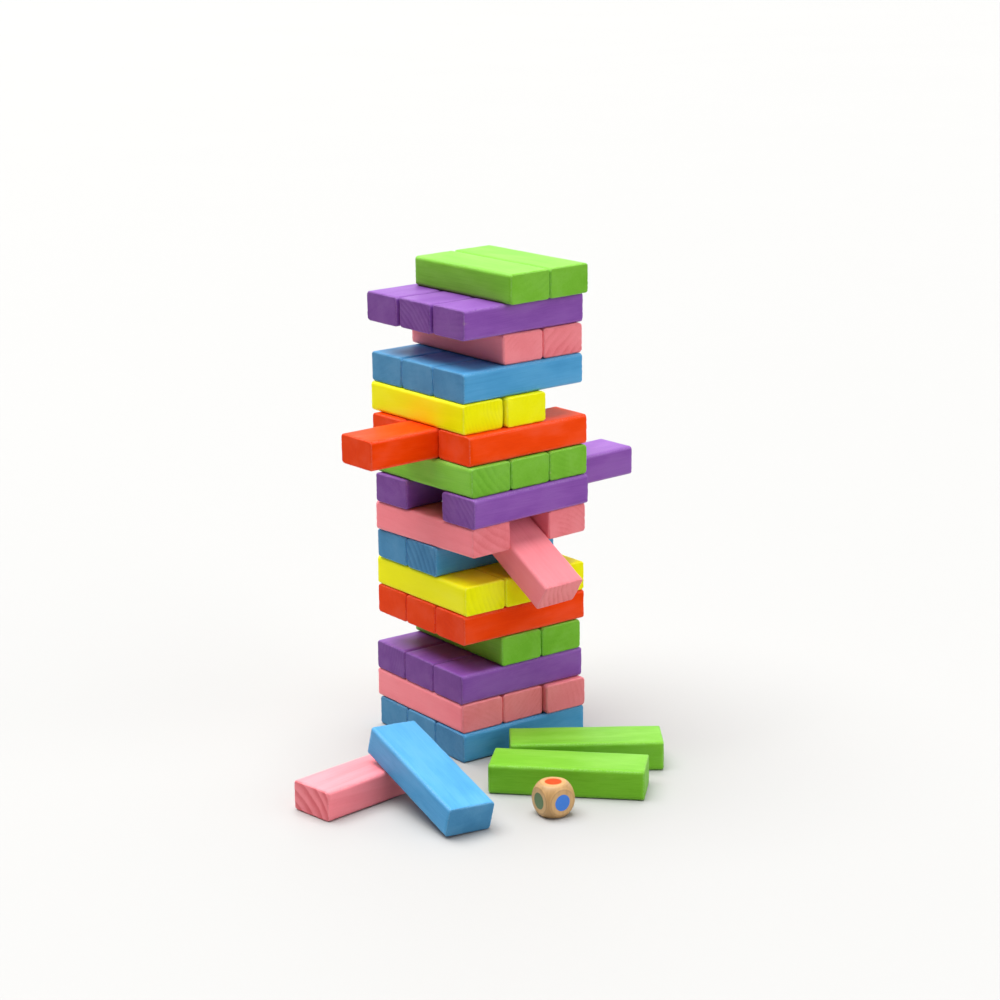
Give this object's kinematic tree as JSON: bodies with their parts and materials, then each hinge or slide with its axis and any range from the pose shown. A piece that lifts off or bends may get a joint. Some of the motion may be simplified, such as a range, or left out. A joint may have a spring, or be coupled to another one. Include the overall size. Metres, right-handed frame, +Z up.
{
  "type": "tumbling tower game",
  "caption": "Stacked tower of coloured wooden blocks in courses laid crosswise, part way through a game, with loose blocks and a colour die beside it.",
  "frame": {"origin": "centre of the tower's footprint, on the surface that it stands on", "axes": "+Z up; +X along the blocks of the bottom course and every odd course; +Y along the blocks of every even course; the loose blocks and the die lie on the -X and -Y sides"},
  "size_m": [0.2427, 0.2472, 0.24],
  "materials": {
    "blue_paint": "blue stained solid wood, satin lacquer, grain showing through",
    "pink_paint": "pink stained solid wood, satin lacquer, grain showing through",
    "purple_paint": "purple stained solid wood, satin lacquer, grain showing through",
    "green_paint": "green stained solid wood, satin lacquer, grain showing through",
    "orange_paint": "orange stained solid wood, satin lacquer, grain showing through",
    "yellow_paint": "yellow stained solid wood, satin lacquer, grain showing through",
    "die_wood": "natural light wood, clear lacquer, one painted dot on each face"
  },
  "bodies": {
    "course_01_blue_front": {"course_01_blue_front": "blue_paint"},
    "course_01_blue_middle": {"course_01_blue_middle": "blue_paint"},
    "course_01_blue_back": {"course_01_blue_back": "blue_paint"},
    "course_02_pink_left": {"course_02_pink_left": "pink_paint"},
    "course_02_pink_middle": {"course_02_pink_middle": "pink_paint"},
    "course_02_pink_right": {"course_02_pink_right": "pink_paint"},
    "course_03_purple_front": {"course_03_purple_front": "purple_paint"},
    "course_03_purple_middle": {"course_03_purple_middle": "purple_paint"},
    "course_03_purple_back": {"course_03_purple_back": "purple_paint"},
    "course_04_green_middle": {"course_04_green_middle": "green_paint"},
    "course_04_green_right": {"course_04_green_right": "green_paint"},
    "course_05_orange_front": {"course_05_orange_front": "orange_paint"},
    "course_05_orange_middle": {"course_05_orange_middle": "orange_paint"},
    "course_05_orange_back": {"course_05_orange_back": "orange_paint"},
    "course_06_yellow_left": {"course_06_yellow_left": "yellow_paint"},
    "course_06_yellow_middle": {"course_06_yellow_middle": "yellow_paint"},
    "course_06_yellow_right": {"course_06_yellow_right": "yellow_paint"},
    "course_07_blue_middle": {"course_07_blue_middle": "blue_paint"},
    "course_07_blue_back": {"course_07_blue_back": "blue_paint"},
    "course_08_pink_left": {"course_08_pink_left": "pink_paint"},
    "course_08_pink_middle": {"course_08_pink_middle": "pink_paint"},
    "course_08_pink_right": {"course_08_pink_right": "pink_paint"},
    "course_09_purple_front": {"course_09_purple_front": "purple_paint"},
    "course_09_purple_middle": {"course_09_purple_middle": "purple_paint"},
    "course_09_purple_back": {"course_09_purple_back": "purple_paint"},
    "course_10_green_left": {"course_10_green_left": "green_paint"},
    "course_10_green_middle": {"course_10_green_middle": "green_paint"},
    "course_10_green_right": {"course_10_green_right": "green_paint"},
    "course_11_orange_front": {"course_11_orange_front": "orange_paint"},
    "course_11_orange_middle": {"course_11_orange_middle": "orange_paint"},
    "course_11_orange_back": {"course_11_orange_back": "orange_paint"},
    "course_12_yellow_left": {"course_12_yellow_left": "yellow_paint"},
    "course_12_yellow_middle": {"course_12_yellow_middle": "yellow_paint"},
    "course_13_blue_front": {"course_13_blue_front": "blue_paint"},
    "course_13_blue_middle": {"course_13_blue_middle": "blue_paint"},
    "course_13_blue_back": {"course_13_blue_back": "blue_paint"},
    "course_14_pink_middle": {"course_14_pink_middle": "pink_paint"},
    "course_14_pink_right": {"course_14_pink_right": "pink_paint"},
    "course_15_purple_front": {"course_15_purple_front": "purple_paint"},
    "course_15_purple_middle": {"course_15_purple_middle": "purple_paint"},
    "course_15_purple_back": {"course_15_purple_back": "purple_paint"},
    "course_16_green_middle": {"course_16_green_middle": "green_paint"},
    "course_16_green_right": {"course_16_green_right": "green_paint"},
    "loose_pink": {"loose_pink": "pink_paint"},
    "loose_green_near": {"loose_green_near": "green_paint"},
    "loose_green_far": {"loose_green_far": "green_paint"},
    "loose_yellow": {"loose_yellow": "yellow_paint"},
    "loose_blue": {"loose_blue": "blue_paint"},
    "die": {"die": "die_wood"}
  },
  "joints": [
    {"name": "course_01_blue_front_slide", "type": "slide", "parent": "course_01_blue_middle", "child": "course_01_blue_front", "axis": [0.999, -0.0436, 0], "range_m": [-0.015, 0.08]},
    {"name": "course_01_blue_back_slide", "type": "slide", "parent": "course_01_blue_middle", "child": "course_01_blue_back", "axis": [0.999, -0.0436, 0], "range_m": [-0.08, 0.08]},
    {"name": "course_02_pink_left_slide", "type": "slide", "parent": "course_01_blue_middle", "child": "course_02_pink_left", "axis": [0.0349, 0.9994, 0], "range_m": [-0.06, 0.08]},
    {"name": "course_02_pink_middle_slide", "type": "slide", "parent": "course_01_blue_middle", "child": "course_02_pink_middle", "axis": [0.0349, 0.9994, 0], "range_m": [-0.08, 0.08]},
    {"name": "course_02_pink_right_slide", "type": "slide", "parent": "course_01_blue_middle", "child": "course_02_pink_right", "axis": [0.0349, 0.9994, 0], "range_m": [-0.078, 0.083]},
    {"name": "course_03_purple_front_slide", "type": "slide", "parent": "course_01_blue_middle", "child": "course_03_purple_front", "axis": [0.9994, -0.0349, 0], "range_m": [-0.025, 0.08]},
    {"name": "course_03_purple_middle_slide", "type": "slide", "parent": "course_01_blue_middle", "child": "course_03_purple_middle", "axis": [0.9994, -0.0349, 0], "range_m": [-0.08, 0.08]},
    {"name": "course_03_purple_back_slide", "type": "slide", "parent": "course_01_blue_middle", "child": "course_03_purple_back", "axis": [0.9994, -0.0349, 0], "range_m": [-0.08, 0.08]},
    {"name": "course_04_green_middle_slide", "type": "slide", "parent": "course_01_blue_middle", "child": "course_04_green_middle", "axis": [0.0262, 0.9997, 0], "range_m": [-0.08, 0.08]},
    {"name": "course_04_green_right_slide", "type": "slide", "parent": "course_01_blue_middle", "child": "course_04_green_right", "axis": [0.0262, 0.9997, 0], "range_m": [-0.08, 0.08]},
    {"name": "course_05_orange_front_slide", "type": "slide", "parent": "course_01_blue_middle", "child": "course_05_orange_front", "axis": [0.9997, -0.0262, 0], "range_m": [-0.08, 0.08]},
    {"name": "course_05_orange_middle_slide", "type": "slide", "parent": "course_01_blue_middle", "child": "course_05_orange_middle", "axis": [0.9997, -0.0262, 0], "range_m": [-0.08, 0.08]},
    {"name": "course_05_orange_back_slide", "type": "slide", "parent": "course_01_blue_middle", "child": "course_05_orange_back", "axis": [0.9997, -0.0262, 0], "range_m": [-0.08, 0.08]},
    {"name": "course_06_yellow_left_slide", "type": "slide", "parent": "course_01_blue_middle", "child": "course_06_yellow_left", "axis": [0.0175, 0.9998, 0], "range_m": [0, 0.08]},
    {"name": "course_06_yellow_middle_slide", "type": "slide", "parent": "course_01_blue_middle", "child": "course_06_yellow_middle", "axis": [0.0175, 0.9998, 0], "range_m": [0, 0.08]},
    {"name": "course_06_yellow_right_slide", "type": "slide", "parent": "course_01_blue_middle", "child": "course_06_yellow_right", "axis": [0.0175, 0.9998, 0], "range_m": [0, 0.08]},
    {"name": "course_07_blue_middle_slide", "type": "slide", "parent": "course_01_blue_middle", "child": "course_07_blue_middle", "axis": [1, -0.0087, 0], "range_m": [-0.08, 0.08]},
    {"name": "course_07_blue_back_slide", "type": "slide", "parent": "course_01_blue_middle", "child": "course_07_blue_back", "axis": [1, -0.0087, 0], "range_m": [-0.08, 0.08]},
    {"name": "course_08_pink_left_slide", "type": "slide", "parent": "course_01_blue_middle", "child": "course_08_pink_left", "axis": [-0.0471, 0.9989, 0], "range_m": [-0.08, 0.08]},
    {"name": "course_08_pink_middle_slide", "type": "slide", "parent": "course_01_blue_middle", "child": "course_08_pink_middle", "axis": [0.0399, -0.8471, -0.5299], "range_m": [0, 0.075]},
    {"name": "course_08_pink_right_slide", "type": "slide", "parent": "course_01_blue_middle", "child": "course_08_pink_right", "axis": [-0.0471, 0.9989, 0], "range_m": [-0.08, 0.08]},
    {"name": "course_09_purple_front_slide", "type": "slide", "parent": "course_01_blue_middle", "child": "course_09_purple_front", "axis": [0.9989, 0.0471, 0], "range_m": [-0.08, 0.08]},
    {"name": "course_09_purple_middle_slide", "type": "slide", "parent": "course_01_blue_middle", "child": "course_09_purple_middle", "axis": [0.9989, 0.0471, 0], "range_m": [-0.004, 0.03]},
    {"name": "course_09_purple_back_slide", "type": "slide", "parent": "course_01_blue_middle", "child": "course_09_purple_back", "axis": [0.9989, 0.0471, 0], "range_m": [-0.08, 0.08]},
    {"name": "course_10_green_left_slide", "type": "slide", "parent": "course_01_blue_middle", "child": "course_10_green_left", "axis": [-0.0349, 0.9994, 0], "range_m": [-0.08, 0.08]},
    {"name": "course_10_green_middle_slide", "type": "slide", "parent": "course_01_blue_middle", "child": "course_10_green_middle", "axis": [-0.0349, 0.9994, 0], "range_m": [-0.08, 0.08]},
    {"name": "course_10_green_right_slide", "type": "slide", "parent": "course_01_blue_middle", "child": "course_10_green_right", "axis": [-0.0349, 0.9994, 0], "range_m": [-0.08, 0.08]},
    {"name": "course_11_orange_front_slide", "type": "slide", "parent": "course_01_blue_middle", "child": "course_11_orange_front", "axis": [0.9998, 0.0175, 0], "range_m": [-0.08, 0.08]},
    {"name": "course_11_orange_middle_slide", "type": "slide", "parent": "course_01_blue_middle", "child": "course_11_orange_middle", "axis": [0.9998, 0.0175, 0], "range_m": [-0.042, 0.12]},
    {"name": "course_11_orange_back_slide", "type": "slide", "parent": "course_01_blue_middle", "child": "course_11_orange_back", "axis": [0.9998, 0.0175, 0], "range_m": [-0.08, 0.08]},
    {"name": "course_12_yellow_left_slide", "type": "slide", "parent": "course_01_blue_middle", "child": "course_12_yellow_left", "axis": [-0.0087, 1, 0], "range_m": [-0.08, 0.08]},
    {"name": "course_12_yellow_middle_slide", "type": "slide", "parent": "course_01_blue_middle", "child": "course_12_yellow_middle", "axis": [-0.0087, 1, 0], "range_m": [-0.08, 0.08]},
    {"name": "course_13_blue_front_slide", "type": "slide", "parent": "course_01_blue_middle", "child": "course_13_blue_front", "axis": [1, 0.0087, 0], "range_m": [-0.08, 0.08]},
    {"name": "course_13_blue_middle_slide", "type": "slide", "parent": "course_01_blue_middle", "child": "course_13_blue_middle", "axis": [1, 0.0087, 0], "range_m": [-0.08, 0.08]},
    {"name": "course_13_blue_back_slide", "type": "slide", "parent": "course_01_blue_middle", "child": "course_13_blue_back", "axis": [1, 0.0087, 0], "range_m": [-0.08, 0.08]},
    {"name": "course_14_pink_middle_slide", "type": "slide", "parent": "course_01_blue_middle", "child": "course_14_pink_middle", "axis": [0, 1, 0], "range_m": [-0.08, 0.08]},
    {"name": "course_14_pink_right_slide", "type": "slide", "parent": "course_01_blue_middle", "child": "course_14_pink_right", "axis": [0, 1, 0], "range_m": [-0.08, 0.08]},
    {"name": "course_15_purple_front_slide", "type": "slide", "parent": "course_01_blue_middle", "child": "course_15_purple_front", "axis": [1, 0.0087, 0], "range_m": [-0.08, 0.08]},
    {"name": "course_15_purple_middle_slide", "type": "slide", "parent": "course_01_blue_middle", "child": "course_15_purple_middle", "axis": [1, 0.0087, 0], "range_m": [-0.08, 0.08]},
    {"name": "course_15_purple_back_slide", "type": "slide", "parent": "course_01_blue_middle", "child": "course_15_purple_back", "axis": [1, 0.0087, 0], "range_m": [-0.08, 0.08]},
    {"name": "course_16_green_middle_lift", "type": "slide", "parent": "course_01_blue_middle", "child": "course_16_green_middle", "axis": [0, 0, 1], "range_m": [0, 0.1]},
    {"name": "course_16_green_right_lift", "type": "slide", "parent": "course_01_blue_middle", "child": "course_16_green_right", "axis": [0, 0, 1], "range_m": [0, 0.1]},
    {"name": "loose_pink_lift", "type": "slide", "parent": "course_01_blue_middle", "child": "loose_pink", "axis": [0, 0, 1], "range_m": [0, 0.1]},
    {"name": "loose_green_near_lift", "type": "slide", "parent": "course_01_blue_middle", "child": "loose_green_near", "axis": [0, 0, 1], "range_m": [0, 0.1]},
    {"name": "loose_green_far_slide", "type": "slide", "parent": "course_01_blue_middle", "child": "loose_green_far", "axis": [0.7986, -0.6018, 0], "range_m": [0, 0.1]},
    {"name": "loose_yellow_lift", "type": "slide", "parent": "course_01_blue_middle", "child": "loose_yellow", "axis": [0, 0, 1], "range_m": [0, 0.1]},
    {"name": "loose_blue_lift", "type": "slide", "parent": "loose_pink", "child": "loose_blue", "axis": [0, 0, 1], "range_m": [0, 0.1]},
    {"name": "die_lift", "type": "slide", "parent": "course_01_blue_middle", "child": "die", "axis": [0, 0, 1], "range_m": [0, 0.1]}
  ]
}
